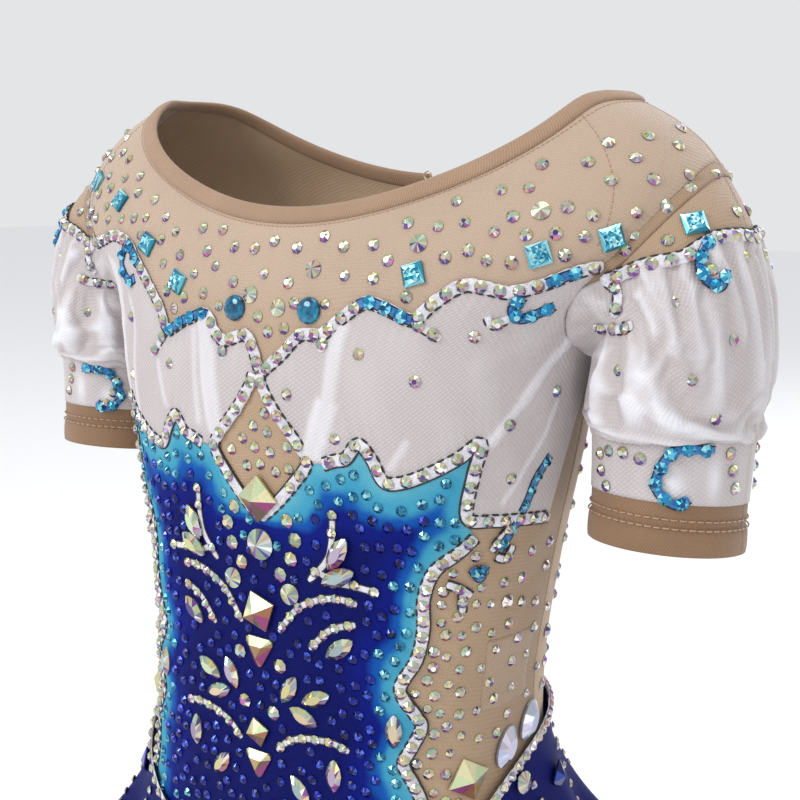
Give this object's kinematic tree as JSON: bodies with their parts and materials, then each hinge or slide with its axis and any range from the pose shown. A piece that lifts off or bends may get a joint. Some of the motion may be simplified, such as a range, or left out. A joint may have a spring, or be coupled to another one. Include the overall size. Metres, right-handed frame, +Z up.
{
  "type": "gymnastics leotard",
  "caption": "Short-sleeved competition leotard with sheer yoke, gathered white bust and puff sleeves, blue crystal-set front panel, short skirt and back zipper.",
  "frame": {"origin": "at shoulder level, midway between the shoulders, on the body's own centre plane", "axes": "+X towards the wearer's left, the front faces -Y, +Z up"},
  "size_m": [0.3402, 0.1673, 0.4241],
  "materials": {
    "nude_mesh": "fine stretch mesh, slightly sheer",
    "nude_trim": "folded stretch knit",
    "navy_fabric": "satin stretch knit",
    "blue_dyed_fabric": "stretch knit dyed from aqua edges to a royal blue middle",
    "white_mesh": "sheer gathered mesh",
    "white_trim": "appliqué strip with a black cord edge",
    "label_satin": "thin translucent satin ribbon",
    "zip_tape": "woven tape",
    "zip_coil": "nylon",
    "zip_metal": "satin enamel",
    "crystal_ab": "faceted, foiled, aurora-borealis coated",
    "crystal_aqua": "faceted, foiled",
    "crystal_teal": "domed, foiled",
    "crystal_sapphire": "faceted, foiled"
  },
  "bodies": {
    "root": {"front_mesh_panel": "nude_mesh", "back_left_panel": "nude_mesh", "back_right_panel": "nude_mesh", "front_brief": "navy_fabric", "back_brief": "navy_fabric", "gusset": "navy_fabric", "left_leg_elastic": "navy_fabric", "right_leg_elastic": "navy_fabric", "neck_binding": "nude_trim", "left_white_overlay": "white_mesh", "right_white_overlay": "white_mesh", "blue_front_panel": "blue_dyed_fabric", "upper_border_left": "white_trim", "upper_border_right": "white_trim", "lower_border": "white_trim", "diamond_border": "white_trim", "side_border_left": "white_trim", "side_border_right": "white_trim", "scroll_branches": "white_trim", "left_sleeve_border": "white_trim", "right_sleeve_border": "white_trim", "left_armhole_band": "nude_trim", "right_armhole_band": "nude_trim", "left_shoulder_cap": "nude_mesh", "right_shoulder_cap": "nude_mesh", "left_puff_sleeve": "white_mesh", "right_puff_sleeve": "white_mesh", "left_sleeve_band": "white_mesh", "right_sleeve_band": "white_mesh", "left_cuff": "nude_trim", "right_cuff": "nude_trim", "skirt": "navy_fabric", "care_label": "label_satin", "left_zip_tape": "zip_tape", "right_zip_tape": "zip_tape", "left_zip_teeth": "zip_coil", "right_zip_teeth": "zip_coil", "zip_top_stops": "zip_metal", "zip_bottom_stop": "zip_metal", "neck_hook": "zip_metal", "neck_eye": "zip_metal", "border_rounds": "crystal_ab", "scroll_rounds": "crystal_ab", "sleeve_rounds": "crystal_ab", "aqua_rounds": "crystal_aqua", "centre_rounds": "crystal_ab", "rivoli_stones": "crystal_ab", "pyramid_stones": "crystal_ab", "triangle_stones": "crystal_ab", "navette_stones": "crystal_ab", "aqua_squares": "crystal_aqua", "teal_domes": "crystal_teal", "skirt_ovals": "crystal_ab", "panel_rounds": "crystal_sapphire", "mesh_rounds": "crystal_ab"},
    "slider": {"zip_slider": "zip_metal"},
    "pull_tab": {"zip_pull_tab": "zip_metal"}
  },
  "joints": [
    {"name": "zip_slide", "type": "slide", "parent": "root", "child": "slider", "axis": [0, -0.0587, -0.9983], "range_m": [0, 0.148]},
    {"name": "pull_hinge", "type": "hinge", "parent": "slider", "child": "pull_tab", "pos_m": [0, 0.06022, -0.06171], "axis": [1, 0, 0], "range_deg": [0, 160]}
  ]
}
